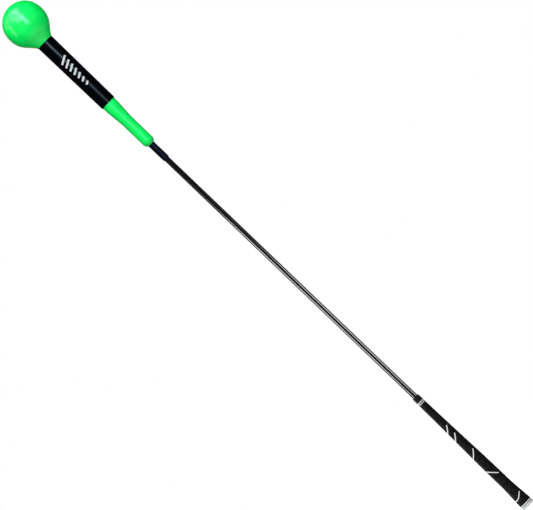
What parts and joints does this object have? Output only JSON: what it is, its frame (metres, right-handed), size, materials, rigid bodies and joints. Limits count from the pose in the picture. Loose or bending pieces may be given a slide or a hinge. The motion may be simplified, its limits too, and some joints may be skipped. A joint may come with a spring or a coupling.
{
  "type": "golf swing trainer stick",
  "caption": "Golf warm-up stick: a tapered rubber grip, a slim flexible shaft that bends in use, and a weighted ball head with a sleeve-covered neck.",
  "frame": {"origin": "centre of the butt face, at the bottom of the grip", "axes": "+Z along the shaft from the butt to the ball, -Y the front with the mark on the sleeve, -X the side that the grip stripes wrap round"},
  "size_m": [0.078, 0.078, 1.219],
  "materials": {
    "grip_rubber": "matt moulded rubber with a fine grain",
    "stripe_paint": "white paint fill, satin",
    "butt_ring": "white plastic, satin",
    "mouth_ring": "silver-grey plastic, satin",
    "cap_rubber": "black rubber, matt",
    "collar": "black plastic, satin",
    "tape": "masking tape, layered",
    "steel": "turned mild steel",
    "shaft": "black pultruded fibreglass rod, glossy",
    "ferrule": "black gloss plastic",
    "green_cover": "vivid green polyurethane, satin sheen",
    "sleeve": "black gloss heat-shrunk sleeve",
    "mark": "white print",
    "core_plastic": "natural nylon, as turned",
    "ball_fill": "cast polyurethane"
  },
  "bodies": {
    "grip": {"grip_body": "grip_rubber", "grip_stripes": "stripe_paint", "butt_cap": "cap_rubber", "butt_ring_lower": "butt_ring", "butt_ring_upper": "butt_ring", "butt_counterweight": "steel", "grip_tape": "tape", "mouth_ring": "mouth_ring", "mouth_collar": "collar", "shaft_butt": "shaft"},
    "shaft_1": {"shaft_flex_1": "shaft"},
    "shaft_2": {"shaft_flex_2": "shaft"},
    "shaft_3": {"shaft_flex_3": "shaft"},
    "shaft_4": {"shaft_flex_4": "shaft"},
    "shaft_5": {"shaft_flex_5": "shaft"},
    "head": {"shaft_tip": "shaft", "ferrule": "ferrule", "tail_cover": "green_cover", "head_core": "core_plastic", "label_sleeve": "sleeve", "sleeve_mark": "mark", "ball_cover": "green_cover", "ball_core": "ball_fill", "ball_weight": "steel", "weight_pin": "steel"}
  },
  "joints": [
    {"name": "shaft_bend_1", "type": "hinge", "parent": "grip", "child": "shaft_1", "pos_m": [0, 0, 0.315], "axis": [0, 1, 0], "range_deg": [-9.5, 9.5], "stiffness_Nm_per_rad": 190},
    {"name": "shaft_bend_2", "type": "hinge", "parent": "shaft_1", "child": "shaft_2", "pos_m": [0, 0, 0.412], "axis": [0, 1, 0], "range_deg": [-8.39, 8.39], "stiffness_Nm_per_rad": 190},
    {"name": "shaft_bend_3", "type": "hinge", "parent": "shaft_2", "child": "shaft_3", "pos_m": [0, 0, 0.509], "axis": [0, 1, 0], "range_deg": [-7.27, 7.27], "stiffness_Nm_per_rad": 190},
    {"name": "shaft_bend_4", "type": "hinge", "parent": "shaft_3", "child": "shaft_4", "pos_m": [0, 0, 0.606], "axis": [0, 1, 0], "range_deg": [-6.15, 6.15], "stiffness_Nm_per_rad": 190},
    {"name": "shaft_bend_5", "type": "hinge", "parent": "shaft_4", "child": "shaft_5", "pos_m": [0, 0, 0.703], "axis": [0, 1, 0], "range_deg": [-5.04, 5.04], "stiffness_Nm_per_rad": 190},
    {"name": "shaft_bend_6", "type": "hinge", "parent": "shaft_5", "child": "head", "pos_m": [0, 0, 0.8], "axis": [0, 1, 0], "range_deg": [-3.91, 3.91], "stiffness_Nm_per_rad": 190}
  ],
  "couplings": [
    {"joint": "shaft_bend_2", "follows": "shaft_bend_1", "ratio": 0.882},
    {"joint": "shaft_bend_3", "follows": "shaft_bend_1", "ratio": 0.764},
    {"joint": "shaft_bend_4", "follows": "shaft_bend_1", "ratio": 0.646},
    {"joint": "shaft_bend_5", "follows": "shaft_bend_1", "ratio": 0.529},
    {"joint": "shaft_bend_6", "follows": "shaft_bend_1", "ratio": 0.411}
  ]
}
